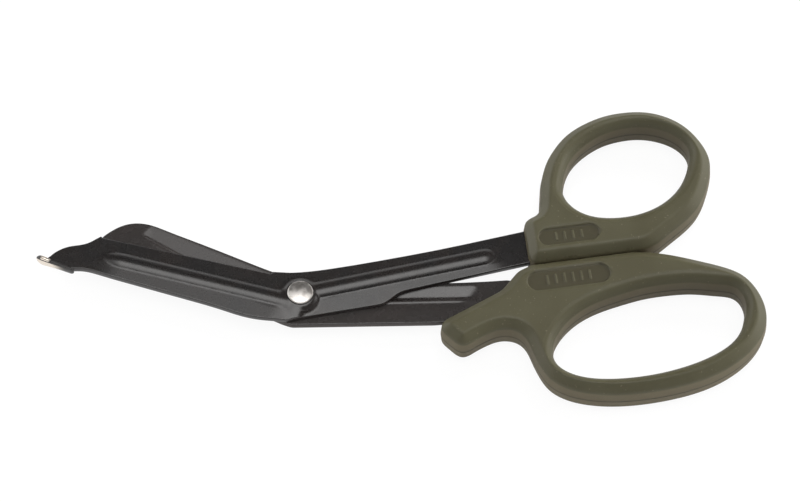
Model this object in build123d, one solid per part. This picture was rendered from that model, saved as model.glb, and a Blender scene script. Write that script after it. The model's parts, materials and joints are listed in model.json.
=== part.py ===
from build123d import *
import math
import os

# Bandage scissors lying flat and closed. The sketching frame has its zero at the
# hinge axis and at the plane where the two blades slide on each other: jaws at -X,
# handles at +X, the small thumb ring at +Y and the large finger ring at -Y. The
# finished parts are moved together so that zero is under the middle of the whole.

# Blades, stamped sheet steel
SHEET = 1.8                 # thickness of both blades
SLIDE_GAP = 0.05            # oil film between the blades
JAW_REACH = 68.5            # hinge axis to the end of the blunt foot
UPPER_REACH = 52.6          # hinge axis to the end of the upper jaw
JAW_RISE = 22.5             # hinge axis to the top of the upper jaw's hump
SHANK_REACH = 58.0          # hinge axis to where the blades enter the handles
SHANK_RISE = 19.1           # hinge axis to the lower blade's top edge at its handle
HEEL_DROP = 7.7             # hinge axis to the upper blade's straight bottom edge
RIB_WIDTH = 4.8
RIB_RISE = 0.9
GROOVE_WIDTH = 4.0          # hollow behind the rib
GROOVE_DEPTH = 0.75
BOSS_RADIUS = 5.0           # raised seat of the rivet head
BOSS_TOP_RADIUS = 3.7
STRIP_SLOPE_DEG = 9.0       # lean of the strip beside each rib
EDGE_BEVEL = 0.9            # width of the ground cutting edge
EDGE_LAND = 0.3             # blunt height left at the cutting edge

# Ribs, from the hinge: direction, sideways offset, near end, the size that their length
# follows, and their far end as a share of it
LOWER_JAW_RIB = dict(angle=164.9, offset=2.4, near=2.5, reach=JAW_REACH, far_share=0.75)
LOWER_SHANK_RIB = dict(angle=13.0, offset=0.4, near=3.0, reach=SHANK_REACH, far_share=0.862)
UPPER_JAW_RIB = dict(angle=155.5, offset=-1.85, near=2.5, reach=UPPER_REACH, far_share=0.817)
UPPER_SHANK_RIB = dict(angle=1.4, offset=0.2, near=3.0, reach=SHANK_REACH, far_share=0.789)
GROOVE_START = 8.0          # the hollows stop this far from the hinge axis

# Wide hollow in the upper jaw's inner face: from a step it climbs to the humped spine
STEP_ANGLE = 148.4          # direction of the step, and its sideways offset
STEP_OFFSET = 5.9
SPINE_ANGLE = 155.5         # direction of the line where the hollow comes up to the face
SPINE_OFFSET = -3.7
SPINE_SLOPE_DEG = 8.0
HOLLOW_END_SHARE = 0.86     # far end, of UPPER_REACH

# Blunt foot: a rounded tongue across the end of the lower jaw
FOOT_THICKNESS = 1.6
FOOT_ABOVE = 1.9            # reach over and under the blade's inner face
FOOT_BELOW = 1.75
FOOT_LENGTH = 10.0          # from the end of the foot back to its heel, along the jaw
FOOT_FRONT_SHARE = 0.533    # heights of the foot's front end and heel, of JAW_RISE
FOOT_HEEL_SHARE = 0.332
FOOT_ROOT_SHARE = 0.33      # where the blade's nose meets the foot
FOOT_BACK_SHARE = 0.9       # where the blade's spine meets it
# Places along the foot, and there the shares of its thickness and its reach over and under
FOOT_SECTION_SHARES = [
    (0.011, 0.30, 0.28, 0.28), (0.03, 0.60, 0.58, 0.58), (0.08, 0.84, 0.83, 0.83), (0.19, 1.00, 1.00, 1.00),
    (0.37, 0.95, 1.00, 0.76), (0.64, 0.80, 1.00, 0.47), (0.90, 0.65, 1.00, 0.38), (1.00, 0.35, 0.80, 0.15),
]

# Tangs, the flat ends inside the handles
TANG_LENGTH = 19.0
TANG_WIDTH = 6.6
TANG_HOLE_RADIUS = 1.6
TANG_HOLE_PITCH = 9.0
TANG_HOLES = 2
TANG_SHOULDER = 1.0         # depth to which the full shank enters the thumb handle
LOWER_TANG_BOTTOM = 1.6     # foot of that shoulder above the stop line
LOWER_TANG_TOP = 11.0       # head of that shoulder above the stop line
UPPER_TANG_START = 8.0      # start of the upper blade's tang, forward of the stop line
UPPER_TANG_TOP_START = 2.4

# Hinge rivet
RIVET_RADIUS = 2.0
RIVET_PLAY = 0.05           # running clearance in the lower blade
RIVET_HEAD_RADIUS = 3.3
RIVET_HEAD_RIM = 0.7
RIVET_DOME = 0.45
RIVET_TAIL_RADIUS = 3.0
RIVET_TAIL_RIM = 0.3
RIVET_TAIL_DOME = 0.45

# Handles, moulded over the tangs
STOP_ANGLE_DEG = 8.5        # lean of the line where the closed handles meet
STOP_X = 57.95              # start of that line from the hinge axis
STOP_Y = 7.95
STOP_GAP = 0.3              # between the closed handles
HANDLE_HALF = 5.5           # half the handle's thickness
WALL_HALF = 3.4             # half the height of the upright wall
BEVEL_WIDTH = 2.4           # width of the slope from the wall to the flat
DRAFT_DEG = 4.7             # lean of the wall from the mould's parting line
THUMB_FACE = 1.2            # thumb handle's front face, from the stop line's start
THUMB_LENGTH = 52.8
THUMB_HEIGHT = 42.0
FINGER_LENGTH = 58.4
FINGER_HEIGHT = 40.9
CORNER_RADIUS = 2.6
NOTCH_RADIUS = 2.6
FRONT_BEND_RADIUS = 6.0

# Shallow label fields sunk in the handles' upper faces
FIELD_DEPTH = 0.5
THUMB_FIELD_LENGTH = 16.0
THUMB_FIELD_WIDTH = 5.0
FINGER_FIELD_LENGTH = 21.7
FINGER_FIELD_WIDTH = 5.8
BAR_WIDTH = 0.6             # plain raised bars in the fields
BAR_RISE = 0.25
BAR_PITCH = 2.2
THUMB_BARS = 4
FINGER_BARS = 6

OVERRUN = 1.0               # how far a cutter passes through what it cuts
OUTLINE_STATIONS = 120      # places at which an outline is set off sideways

# Hand-chosen places along each outline, as shares of the sizes named beside them.
# Lower jaw, of JAW_REACH and JAW_RISE, from the foot's front round the blunt nose
# and down the cutting edge to the hinge.
NOSE_SHARES = [
    (-0.946, 0.513), (-0.921, 0.580), (-0.873, 0.645), (-0.828, 0.667), (-0.799, 0.698), (-0.778, 0.738),
]
LOWER_EDGE_SHARES = [(-0.753, 0.786), (-0.110, 0.308)]
LOWER_SPINE_SHARES = [
    (-0.825, 0.351), (-0.749, 0.289), (-0.604, 0.147), (-0.453, 0.002), (-0.301, -0.149), (-0.150, -0.285),
]
# Lower shank, of SHANK_REACH and SHANK_RISE: top edge, then bottom edge.
LOWER_TOP_SHARES = [
    (-0.045, 0.348), (0.036, 0.366), (0.152, 0.419), (0.383, 0.555), (0.614, 0.707), (0.847, 0.880),
]
LOWER_HEEL_SHARES = [(-0.075, -0.366), (0.103, -0.267), (0.345, -0.126)]
LOWER_WAIST_SHARES = [(0.397, -0.047), (0.434, 0.042), (0.483, 0.099)]
# Upper jaw, of UPPER_REACH and JAW_RISE: spine from the nose to the hinge.
UPPER_SPINE_SHARES = [
    (-0.985, 0.804), (-0.947, 0.884), (-0.909, 0.942), (-0.869, 0.982), (-0.812, 1.000), (-0.751, 0.978),
    (-0.671, 0.902), (-0.510, 0.738), (-0.272, 0.489), (-0.130, 0.345),
]
UPPER_EDGE_SHARES = [(-0.171, -0.209), (-1.0, 0.724)]
# Upper blade's bottom and the top edge of its shank, of SHANK_REACH and HEEL_DROP.
UPPER_HEEL_SHARES = [(-0.081, -0.883), (-0.038, -1.000), (0.590, -0.914), (0.850, -0.750)]
UPPER_TOP_SHARES = [(-0.035, 0.805), (0.103, 0.700), (0.345, 0.610), (0.736, 0.623), (0.921, 0.714)]

# Thumb handle, of THUMB_LENGTH and THUMB_HEIGHT in the stop line's frame.
THUMB_RING_SHARES = [
    (0.720, 0.086), (0.879, 0.234), (0.969, 0.420), (1.000, 0.590), (0.966, 0.740), (0.917, 0.839),
    (0.830, 0.932), (0.737, 0.982), (0.636, 0.999), (0.534, 0.992), (0.426, 0.954), (0.314, 0.877),
    (0.242, 0.785), (0.191, 0.689), (0.159, 0.592),
]
THUMB_RING_START_SHARE = 0.549
THUMB_RING_END_SHARE = (0.140, 0.490)
THUMB_FRONT_SHARES = [(0.116, 0.350), (0.030, 0.307)]
THUMB_HOLE_SHARES = [
    (0.252, 0.440), (0.283, 0.366), (0.360, 0.289), (0.444, 0.257), (0.534, 0.249), (0.625, 0.263),
    (0.723, 0.308), (0.828, 0.415), (0.886, 0.540), (0.909, 0.672), (0.864, 0.775), (0.782, 0.846),
    (0.693, 0.880), (0.602, 0.883), (0.507, 0.861), (0.407, 0.801), (0.316, 0.701), (0.264, 0.570),
]
THUMB_FIELD_SHARE = (0.233, 0.151)

# Finger handle, of FINGER_LENGTH and FINGER_HEIGHT in the stop line's frame.
FINGER_RING_SHARES = [
    (0.494, -0.008), (0.609, -0.045), (0.762, -0.131), (0.862, -0.197), (0.935, -0.270), (0.981, -0.378),
    (1.000, -0.488), (0.997, -0.593), (0.976, -0.675), (0.915, -0.786), (0.795, -0.901), (0.682, -0.960),
    (0.570, -0.989), (0.461, -1.001), (0.355, -1.000), (0.251, -0.984), (0.148, -0.947), (0.052, -0.877),
    (0.010, -0.817), (-0.024, -0.708), (-0.041, -0.617), (-0.057, -0.526), (-0.090, -0.462), (-0.141, -0.434),
    (-0.198, -0.440), (-0.250, -0.465),
]
FINGER_RING_START_SHARE = 0.400
FINGER_REST_END_SHARE = (-0.284, -0.487)
FINGER_FRONT_SHARES = [(-0.342, -0.525), (-0.443, -0.342), (-0.124, -0.156), (-0.040, -0.037)]
FINGER_TOP_START_SHARE = 0.031
FINGER_HOLE_SHARES = [
    (0.043, -0.640), (0.053, -0.725), (0.108, -0.801), (0.208, -0.857), (0.310, -0.879), (0.417, -0.884),
    (0.523, -0.874), (0.633, -0.847), (0.747, -0.796), (0.855, -0.696), (0.904, -0.576), (0.922, -0.450),
    (0.893, -0.352), (0.824, -0.314), (0.719, -0.278), (0.613, -0.265), (0.503, -0.268), (0.392, -0.292),
    (0.279, -0.329), (0.162, -0.407), (0.084, -0.510),
]
FINGER_FIELD_SHARE = (0.173, -0.149)
THUMB_TANG_SHARE = 0.138    # middle of the tang above the stop line, of THUMB_HEIGHT
FINGER_TANG_SHARE = -0.148  # middle of the tang below the stop line, of FINGER_HEIGHT


def spread(shares, along, across):
    """Places in the plane, from shares of two sizes."""
    return [(a * along, b * across) for a, b in shares]


def stop_place(along, across):
    """A place given beside the handles' stop line, in the sketching frame."""
    lean = math.radians(STOP_ANGLE_DEG)
    x = STOP_X + along * math.cos(lean) - across * math.sin(lean)
    y = STOP_Y + along * math.sin(lean) + across * math.cos(lean)
    return (x, y)


def beside_stop(shape):
    """A shape made beside the stop line, moved into the sketching frame."""
    return Location((STOP_X, STOP_Y, 0), (0, 0, STOP_ANGLE_DEG)) * shape


def direction(start, end):
    """The direction from one place to another."""
    return (end[0] - start[0], end[1] - start[1])


def rounded(face, places, radius):
    """The face with its corners at the given places rounded."""
    corners = [min(face.vertices(), key=lambda v: (v.X - x) ** 2 + (v.Y - y) ** 2) for x, y in places]
    return fillet(corners, radius)


def rib_place(rib, distance, aside, height):
    """A place beside a rib: along it from the hinge, aside from its middle and up."""
    turn = math.radians(rib["angle"])
    across = rib["offset"] + aside
    x = distance * math.cos(turn) - across * math.sin(turn)
    y = distance * math.sin(turn) + across * math.cos(turn)
    return (x, y, height)


def round_bar(rib, near, width, crown, top):
    """A bar with a round back and round ends; its back stands at top, crown above its chord."""
    radius = (width**2 / 4 + crown**2) / (2 * crown)
    run = rib["reach"] * rib["far_share"] - width / 2 - near
    slant = radius * math.sqrt(1 / 2)
    half = make_face([
        ThreePointArc((-radius, 0), (-slant, slant), (0, radius)),
        Line((0, radius), (run, radius)),
        ThreePointArc((run, radius), (run + slant, slant), (run + radius, 0)),
        Line((run + radius, 0), (-radius, 0)),
    ])
    return Location(rib_place(rib, near, 0, top - radius), (0, 0, rib["angle"])) * revolve(half, Axis.X)


def ridge(rib):
    """The raised rib on the blade's outer face, rooted inside the sheet."""
    bar = round_bar(rib, rib["near"], RIB_WIDTH, RIB_RISE, SHEET + RIB_RISE)
    above = Pos(0, 0, SHEET / 2) * Box(
        4 * JAW_REACH, 4 * JAW_REACH, 2 * SHEET, align=(Align.CENTER, Align.CENTER, Align.MIN)
    )
    return bar & above


def hollow(rib):
    """The hollow that the rib leaves in the blade's inner face."""
    return round_bar(rib, GROOVE_START, GROOVE_WIDTH, GROOVE_DEPTH, GROOVE_DEPTH)


def spine_hollow():
    """The wide hollow in the upper jaw's inner face, deepest beside its step."""
    along = math.radians(SPINE_ANGLE)
    slope = math.radians(SPINE_SLOPE_DEG)
    aside = Vector(-math.sin(along), math.cos(along), 0)
    up = Vector(0, 0, math.cos(slope)) - aside * math.sin(slope)
    crest = dict(angle=SPINE_ANGLE, offset=SPINE_OFFSET)
    run = Vector(math.cos(along), math.sin(along), 0)
    plane = Plane(origin=rib_place(crest, 0, 0, 0), x_dir=run, z_dir=up)
    under = Box(4 * JAW_REACH, 4 * JAW_REACH, JAW_RISE, align=(Align.CENTER, Align.CENTER, Align.MAX))
    step = dict(angle=STEP_ANGLE, offset=STEP_OFFSET)
    extent = HOLLOW_END_SHARE * UPPER_REACH - GROOVE_START
    beyond = Box(extent, JAW_RISE, GROOVE_DEPTH + OVERRUN, align=(Align.MIN, Align.MAX, Align.MIN))
    corner = Location(rib_place(step, GROOVE_START, 0, -OVERRUN), (0, 0, STEP_ANGLE))
    return plane.location * under & corner * beyond


def strip_cut(rib, side):
    """What lies over the leaning strip beside a rib; side is 1 for left of its direction."""
    turn = math.radians(rib["angle"])
    slope = math.radians(STRIP_SLOPE_DEG)
    along = Vector(math.cos(turn), math.sin(turn), 0) * side
    aside = Vector(-math.sin(turn), math.cos(turn), 0) * side
    up = aside * math.sin(slope) + Vector(0, 0, math.cos(slope))
    plane = Plane(origin=rib_place(rib, 0, side * RIB_WIDTH / 2, SHEET), x_dir=along, z_dir=up)
    over = Box(4 * JAW_REACH, JAW_REACH, JAW_RISE, align=(Align.CENTER, Align.MIN, Align.MIN))
    return plane.location * over


def edge_cut(start, end):
    """What the grinding takes off a cutting edge, on the left of start to end."""
    along = Vector(*direction(start, end), 0)
    lean = math.atan2(SHEET - EDGE_LAND, EDGE_BEVEL)
    left = Vector(-along.Y, along.X, 0).normalized()
    up = left * math.sin(lean) + Vector(0, 0, math.cos(lean))
    plane = Plane(origin=(start[0], start[1], EDGE_LAND), x_dir=along, z_dir=up)
    over = Box(along.length, JAW_RISE / 2, JAW_RISE / 4, align=(Align.MIN, Align.CENTER, Align.MIN))
    return plane.location * over


def tang_holes(start, middle):
    """The row of holes in a tang that the handle's plastic fills."""
    first = start + (TANG_LENGTH - (TANG_HOLES - 1) * TANG_HOLE_PITCH) / 2
    places = [stop_place(first + i * TANG_HOLE_PITCH, middle) for i in range(TANG_HOLES)]
    return [Pos(x, y, SHEET / 2) * Cylinder(TANG_HOLE_RADIUS, 2 * SHEET) for x, y in places]


def seat():
    """The round raised seat at the hinge, rooted inside the sheet."""
    root = Cylinder(BOSS_RADIUS, SHEET, align=(Align.CENTER, Align.CENTER, Align.MIN))
    rise = Cone(BOSS_RADIUS, BOSS_TOP_RADIUS, RIB_RISE, align=(Align.CENTER, Align.CENTER, Align.MIN))
    return root + Pos(0, 0, SHEET) * rise


def foot_place(share):
    """A place on the foot's middle line, as a share of its length from the front."""
    x = -JAW_REACH + FOOT_LENGTH * share
    y = JAW_RISE * (FOOT_FRONT_SHARE + (FOOT_HEEL_SHARE - FOOT_FRONT_SHARE) * share)
    return (x, y)


def foot():
    """The blunt foot: a tongue of oval section across the lower jaw's tip, round in front."""
    run = Vector(*direction(foot_place(0), foot_place(1)), 0)
    sections = []
    for share, thick, over, under in FOOT_SECTION_SHARES:
        top, bottom = over * FOOT_ABOVE, -under * FOOT_BELOW
        middle = (*foot_place(share), (top + bottom) / 2)
        cross = Plane(origin=middle, x_dir=Vector(-run.Y, run.X, 0), z_dir=run)
        sections.append(cross * Ellipse(thick * FOOT_THICKNESS / 2, (top - bottom) / 2))
    return loft(sections, ruled=True)


def lower_outline():
    """The plan of the lower blade: spine, waist, tang, top edge, cutting edge and nose."""
    nose = spread(NOSE_SHARES, JAW_REACH, JAW_RISE)
    inside = foot_place(FOOT_ROOT_SHARE)
    heel = foot_place(FOOT_BACK_SHARE)
    spine = [heel] + spread(LOWER_SPINE_SHARES, JAW_REACH, JAW_RISE)
    under = spread(LOWER_HEEL_SHARES, SHANK_REACH, SHANK_RISE)
    waist = spread(LOWER_WAIST_SHARES, SHANK_REACH, SHANK_RISE)
    edge = spread(LOWER_EDGE_SHARES, JAW_REACH, JAW_RISE)
    top = spread(LOWER_TOP_SHARES, SHANK_REACH, SHANK_RISE)
    start = THUMB_FACE + TANG_SHOULDER
    end = start + TANG_LENGTH
    middle = THUMB_TANG_SHARE * THUMB_HEIGHT
    low, high = middle - TANG_WIDTH / 2, middle + TANG_WIDTH / 2
    bottom = stop_place(start, LOWER_TANG_BOTTOM)
    tang = [stop_place(start, low), stop_place(end, low), stop_place(end, high), stop_place(start, high)]
    crown = stop_place(start, LOWER_TANG_TOP)
    bend = [direction(under[1], under[2]), direction(waist[-1], bottom)]
    return make_face([
        Spline(*spine, *under[:2], tangents=[direction(spine[0], spine[1]), direction(under[1], under[2])]),
        Line(under[1], under[2]),
        Spline(under[2], *waist, tangents=bend),
        Polyline(waist[-1], bottom, *tang, crown),
        Spline(crown, *reversed(top)),
        Polyline(top[0], edge[1], edge[0]),
        Spline(edge[0], *reversed(nose)),
        Polyline(nose[0], inside, heel),
    ])


def lower_blade():
    """The blade that is below when it cuts, with the foot: flat inside, ribbed outside."""
    edge = spread(LOWER_EDGE_SHARES, JAW_REACH, JAW_RISE)
    blade = extrude(lower_outline(), SHEET)
    blade -= strip_cut(LOWER_JAW_RIB, 1)
    blade -= strip_cut(LOWER_SHANK_RIB, -1)
    blade -= edge_cut(edge[0], edge[1])
    blade += foot()
    blade += ridge(LOWER_JAW_RIB) + ridge(LOWER_SHANK_RIB) + seat()
    blade -= hollow(LOWER_JAW_RIB) + hollow(LOWER_SHANK_RIB)
    blade -= tang_holes(THUMB_FACE + TANG_SHOULDER, THUMB_TANG_SHARE * THUMB_HEIGHT)
    blade -= Cylinder(RIVET_RADIUS + RIVET_PLAY, 4 * SHEET)
    return Pos(0, 0, SLIDE_GAP / 2) * blade


def upper_outline():
    """The plan of the upper blade: humped spine, shank, tang, straight bottom and cutting edge."""
    edge = spread(UPPER_EDGE_SHARES, UPPER_REACH, JAW_RISE)
    spine = [edge[1]] + spread(UPPER_SPINE_SHARES, UPPER_REACH, JAW_RISE)
    top = spread(UPPER_TOP_SHARES, SHANK_REACH, HEEL_DROP)
    under = spread(UPPER_HEEL_SHARES, SHANK_REACH, HEEL_DROP)
    middle = FINGER_TANG_SHARE * FINGER_HEIGHT
    low, high = middle - TANG_WIDTH / 2, middle + TANG_WIDTH / 2
    end = TANG_LENGTH
    tang = [
        stop_place(-UPPER_TANG_TOP_START, high), stop_place(end, high),
        stop_place(end, low), stop_place(-UPPER_TANG_START, low),
    ]
    return make_face([
        Spline(*spine, *top),
        Polyline(top[-1], *tang, *reversed(under), *edge),
    ])


def upper_blade():
    """The blade that is above when it cuts, its ribbed outer face down."""
    edge = spread(UPPER_EDGE_SHARES, UPPER_REACH, JAW_RISE)
    blade = extrude(upper_outline(), SHEET)
    blade -= strip_cut(UPPER_JAW_RIB, -1) & strip_cut(UPPER_SHANK_RIB, 1)
    blade -= edge_cut(edge[0], edge[1])
    blade += ridge(UPPER_JAW_RIB) + ridge(UPPER_SHANK_RIB) + seat()
    blade -= spine_hollow()
    blade -= hollow(UPPER_SHANK_RIB)
    blade -= tang_holes(0, FINGER_TANG_SHARE * FINGER_HEIGHT)
    blade -= Cylinder(RIVET_RADIUS, 4 * SHEET)
    return Pos(0, 0, -SLIDE_GAP / 2) * mirror(blade, about=Plane.XY)


def domed_disc(radius, rim, dome):
    """A disc with an upright rim and a shallow round crown."""
    ball = (radius**2 + dome**2) / (2 * dome)
    disc = Cylinder(radius, rim + dome, align=(Align.CENTER, Align.CENTER, Align.MIN))
    return disc & Pos(0, 0, rim + dome - ball) * Sphere(ball)


def pivot_rivet():
    """The hinge rivet: domed head, pin, and the tail hammered over below."""
    outer = SLIDE_GAP / 2 + SHEET + RIB_RISE
    pin = Cylinder(RIVET_RADIUS, 2 * outer + RIVET_PLAY, align=(Align.CENTER, Align.CENTER, Align.MIN))
    head = domed_disc(RIVET_HEAD_RADIUS, RIVET_HEAD_RIM, RIVET_DOME)
    tail = domed_disc(RIVET_TAIL_RADIUS, RIVET_TAIL_RIM, RIVET_TAIL_DOME)
    return Pos(0, 0, -outer) * pin + Pos(0, 0, outer + RIVET_PLAY) * head + Pos(0, 0, -outer) * mirror(
        tail, about=Plane.XY
    )


def loop_beside(face, aside, height):
    """A closed curve at a height, a distance aside from the face's border; outwards is positive."""
    border = face.face().outer_wire()
    steps = [border.length * i / OUTLINE_STATIONS for i in range(OUTLINE_STATIONS)]
    places = [border.position_at(s, position_mode=PositionMode.LENGTH) for s in steps]
    ways = [border.tangent_at(s, position_mode=PositionMode.LENGTH) for s in steps]
    area = sum(p.X * q.Y - q.X * p.Y for p, q in zip(places, places[1:] + places[:1]))
    out = aside if area > 0 else -aside
    beside = [(p.X + out * w.Y, p.Y - out * w.X, height) for p, w in zip(places, ways)]
    return Spline(*beside, periodic=True)


def moulded(face, grow, extra):
    """A moulding with leaning walls and sloped shoulders, the same above and below.

    The face is its plan at the top of the wall. A body has grow of 1; a hole has -1,
    so that it flares, and passes the flats by extra.
    """
    draft = WALL_HALF * math.tan(math.radians(DRAFT_DEG))
    rise = HANDLE_HALF - WALL_HALF
    top = HANDLE_HALF + extra
    shoulder = BEVEL_WIDTH * (rise + extra) / rise
    levels = [(-shoulder, -top), (0, -WALL_HALF), (draft, 0), (0, WALL_HALF), (-shoulder, top)]
    sections = [make_face(loop_beside(face, grow * aside, height)) for aside, height in levels]
    return loft(sections, ruled=True)


def through_hole(shares, length, height):
    """The flared space of a finger ring, open above and below."""
    face = make_face(Spline(*spread(shares, length, height), periodic=True))
    return moulded(face, -1, OVERRUN)


def label_field(length, width, middle, bars):
    """A shallow field sunk in the upper flat, less a row of plain raised bars."""
    field = extrude(SlotOverall(length, width), FIELD_DEPTH + OVERRUN)
    first = -(bars - 1) * BAR_PITCH / 2
    for i in range(bars):
        rib = Box(BAR_WIDTH, width / 2, BAR_RISE, align=(Align.CENTER, Align.CENTER, Align.MIN))
        field -= Pos(first + i * BAR_PITCH, 0, 0) * rib
    return Pos(*middle, HANDLE_HALF - FIELD_DEPTH) * field


def above_stop():
    """All the space on the thumb handle's side of the stop gap."""
    size = 2 * (THUMB_LENGTH + FINGER_LENGTH)
    return Pos(0, STOP_GAP / 2, 0) * Box(size, size, size, align=(Align.CENTER, Align.MIN, Align.CENTER))


def thumb_outline():
    """The thumb handle's plan beside the stop line, at the top of its wall."""
    ring = spread(THUMB_RING_SHARES, THUMB_LENGTH, THUMB_HEIGHT)
    first = (THUMB_RING_START_SHARE * THUMB_LENGTH, 0)
    last = spread([THUMB_RING_END_SHARE], THUMB_LENGTH, THUMB_HEIGHT)[0]
    front = spread(THUMB_FRONT_SHARES, THUMB_LENGTH, THUMB_HEIGHT)
    corner = (THUMB_FACE, 0)
    ends = [(1, 0), direction(last, front[0])]
    face = make_face([
        Spline(first, *ring, last, tangents=ends),
        Polyline(last, *front, corner, first),
    ])
    return rounded(rounded(face, [front[0]], NOTCH_RADIUS), [front[1], corner], CORNER_RADIUS)


def thumb_handle(blade):
    """The upper handle with the thumb ring, moulded over the lower blade's tang."""
    handle = moulded(thumb_outline(), 1, 0) & above_stop()
    handle -= through_hole(THUMB_HOLE_SHARES, THUMB_LENGTH, THUMB_HEIGHT)
    middle = spread([THUMB_FIELD_SHARE], THUMB_LENGTH, THUMB_HEIGHT)[0]
    handle -= label_field(THUMB_FIELD_LENGTH, THUMB_FIELD_WIDTH, middle, THUMB_BARS)
    return beside_stop(handle) - blade


def finger_outline():
    """The finger handle's plan beside the stop line, at the top of its wall."""
    ring = spread(FINGER_RING_SHARES, FINGER_LENGTH, FINGER_HEIGHT)
    first = (FINGER_RING_START_SHARE * FINGER_LENGTH, 0)
    last = spread([FINGER_REST_END_SHARE], FINGER_LENGTH, FINGER_HEIGHT)[0]
    front = spread(FINGER_FRONT_SHARES, FINGER_LENGTH, FINGER_HEIGHT)
    corner = (FINGER_TOP_START_SHARE * FINGER_LENGTH, 0)
    ends = [(1, 0), direction(last, front[0])]
    face = make_face([
        Spline(first, *ring, last, tangents=ends),
        Polyline(last, *front, corner, first),
    ])
    face = rounded(face, [*front[:2], front[3], corner], CORNER_RADIUS)
    return rounded(face, [front[2]], FRONT_BEND_RADIUS)


def finger_handle(blade):
    """The lower handle with the finger ring and rest, moulded over the upper blade's tang."""
    handle = moulded(finger_outline(), 1, 0) - Pos(0, -STOP_GAP, 0) * above_stop()
    handle -= through_hole(FINGER_HOLE_SHARES, FINGER_LENGTH, FINGER_HEIGHT)
    middle = spread([FINGER_FIELD_SHARE], FINGER_LENGTH, FINGER_HEIGHT)[0]
    handle -= label_field(FINGER_FIELD_LENGTH, FINGER_FIELD_WIDTH, middle, FINGER_BARS)
    return beside_stop(handle) - blade


def scissors():
    """Every piece by name, with zero moved to the middle of the whole's underside."""
    pieces = {"lower_blade": lower_blade(), "upper_blade": upper_blade(), "pivot_rivet": pivot_rivet()}
    pieces["thumb_handle"] = thumb_handle(pieces["lower_blade"])
    pieces["finger_handle"] = finger_handle(pieces["upper_blade"])
    box = Compound(children=[piece.solid() for piece in pieces.values()]).bounding_box()
    shift = Pos(-box.center().X, -box.center().Y, -box.min.Z)
    print("hinge axis at", [round(v, 4) for v in shift.position])
    return {name: shift * piece.solid() for name, piece in pieces.items()}


os.makedirs("parts", exist_ok=True)
for name, piece in scissors().items():
    export_step(piece, f"parts/{name}.step")
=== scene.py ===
"""Bandage scissors with moulded handles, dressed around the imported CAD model."""

import json
import math

import bpy
import numpy as np
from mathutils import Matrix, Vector
from mathutils.geometry import delaunay_2d_cdt


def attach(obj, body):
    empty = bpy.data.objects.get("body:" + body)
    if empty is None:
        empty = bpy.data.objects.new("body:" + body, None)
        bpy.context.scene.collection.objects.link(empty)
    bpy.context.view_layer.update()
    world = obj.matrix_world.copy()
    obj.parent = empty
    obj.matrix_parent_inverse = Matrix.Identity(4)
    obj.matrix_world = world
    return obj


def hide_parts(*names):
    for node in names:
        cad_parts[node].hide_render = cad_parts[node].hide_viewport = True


bl_info = {
    "name": "Bandage Scissors",
    "version": (1, 0, 0),
    "blender": (4, 5, 0),
    "location": "View3D > Sidebar > Scissors",
    "description": "Builds the blades, rivet and moulded handles of a pair of bandage scissors",
    "category": "Object",
}

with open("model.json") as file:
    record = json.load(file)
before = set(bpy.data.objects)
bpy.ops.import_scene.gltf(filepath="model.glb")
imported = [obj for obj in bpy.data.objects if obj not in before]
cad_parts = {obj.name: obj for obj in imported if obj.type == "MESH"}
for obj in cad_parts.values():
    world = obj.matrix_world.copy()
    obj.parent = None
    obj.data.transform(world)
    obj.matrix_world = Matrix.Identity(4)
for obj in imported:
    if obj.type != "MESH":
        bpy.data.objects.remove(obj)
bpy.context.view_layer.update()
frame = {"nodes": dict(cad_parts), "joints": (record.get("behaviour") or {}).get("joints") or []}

MM = 0.001  # sizes below are in millimetres from the hinge axis
HINGE = np.array(frame["joints"][0]["pos_m"])
SLIDE = 0.025  # half the gap between the blades
SHEET = 1.8  # thickness of the blades
PLAN_LIFT = 0.04  # a blade's plan is cut this far over its inner face
EDGE_LAND = 0.3  # thickness left at a ground cutting edge, and width of its grind
EDGE_BEVEL = 0.8
JAW_REACH = 68.5  # from the hinge to the lower jaw's nose and to the upper jaw's tip
UPPER_REACH = 52.6
JAW_RISE = 22.5  # height of the jaws over the hinge, in the plane of the blades
SHANK_REACH = 58.0
GROOVE_WIDTH = 4.0  # hollow behind a rib
GROOVE_DEPTH = 0.75
GROOVE_START = 8.0
HOLLOW_BORDER = 0.08  # height over which a hollow's border is rounded
HOLE_RADIUS = 2.05

# Rivet's seat: its height, which is the ribs', radius of its flat and of its foot, steepness of its skirt
# and of its gentle cone, and the direction in which that cone runs out
SEAT_RISE = 0.9
SEAT_TOP = 3.4
SEAT_RADIUS = 5.0
SEAT_SKIRT = 0.8
SEAT_RUN = 0.33
SEAT_CONE = math.radians(217)

# Blunt foot: its line, the part of it where the blade joins it, and its size over and under the inner face
FOOT_LENGTH = 10.0
FOOT = np.array([(-JAW_REACH, 0.533 * JAW_RISE), (FOOT_LENGTH - JAW_REACH, 0.332 * JAW_RISE)])
FOOT_ROOT = FOOT[0] + np.array([[0.25], [0.9]]) * (FOOT[1] - FOOT[0])
FOOT_COVER = 0.3  # how far the blade's border may stand off that part, inside the foot
FOOT_HALF = 0.8
FOOT_ABOVE = 1.9
FOOT_BELOW = 1.75
FOOT_NOSE = 1.8  # radius of its rounded front, seen from the side
FOOT_HEEL = 0.8  # length of its rounded heel
FOOT_STATIONS = (0.0, 1.8, 3.4, 6.0, 8.4, FOOT_LENGTH)
FOOT_DEPTHS = (1.0, 1.0, 0.76, 0.47, 0.38, 0.3)  # shares of its depth and width there
FOOT_WIDTHS = (1.0, 1.0, 0.95, 0.8, 0.65, 0.55)

# Cutting edges, each with the blade on its right
LOWER_EDGE = np.array([(-0.753 * JAW_REACH, 0.786 * JAW_RISE), (-0.110 * JAW_REACH, 0.308 * JAW_RISE)])
UPPER_EDGE = np.array([(-0.171 * UPPER_REACH, -0.209 * JAW_RISE), (-UPPER_REACH, 0.724 * JAW_RISE)])

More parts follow.
